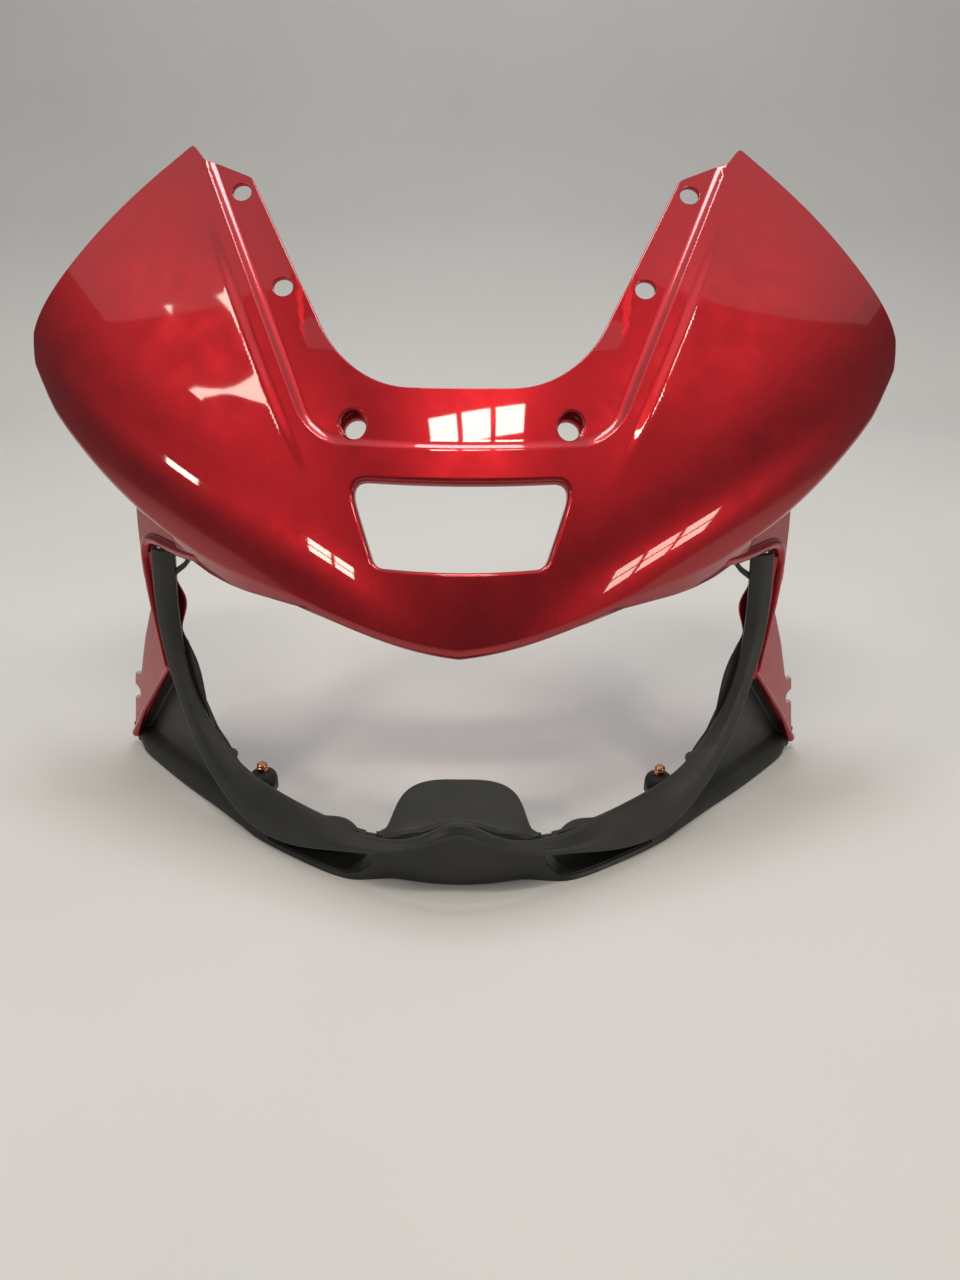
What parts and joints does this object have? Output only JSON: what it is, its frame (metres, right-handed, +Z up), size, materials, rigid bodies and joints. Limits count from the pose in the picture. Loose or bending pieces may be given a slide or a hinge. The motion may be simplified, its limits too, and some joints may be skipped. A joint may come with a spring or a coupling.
{
  "type": "motorcycle fairing",
  "caption": "Nose cowl of a road motorcycle: red winged upper with a windscreen ledge and vent over a black headlight surround and skirt.",
  "frame": {"origin": "on the surface it stands on, under the middle of its box", "axes": "+X to the rider's left, +Y from the nose towards the rider, +Z up"},
  "size_m": [0.5646, 0.2908, 0.396],
  "materials": {
    "red_paint": "deep metallic red under clear lacquer",
    "black_plastic": "satin moulded black",
    "seat_rubber": "matt black rubber",
    "stud_metal": "copper coloured metal",
    "screw_steel": "zinc plated"
  },
  "bodies": {
    "root": {"upper_cowl": "red_paint", "lower_cowl": "black_plastic", "lamp_seat_left": "seat_rubber", "lamp_seat_right": "seat_rubber", "lamp_stud_left": "stud_metal", "lamp_stud_right": "stud_metal", "joining_screws": "screw_steel"}
  },
  "joints": []
}
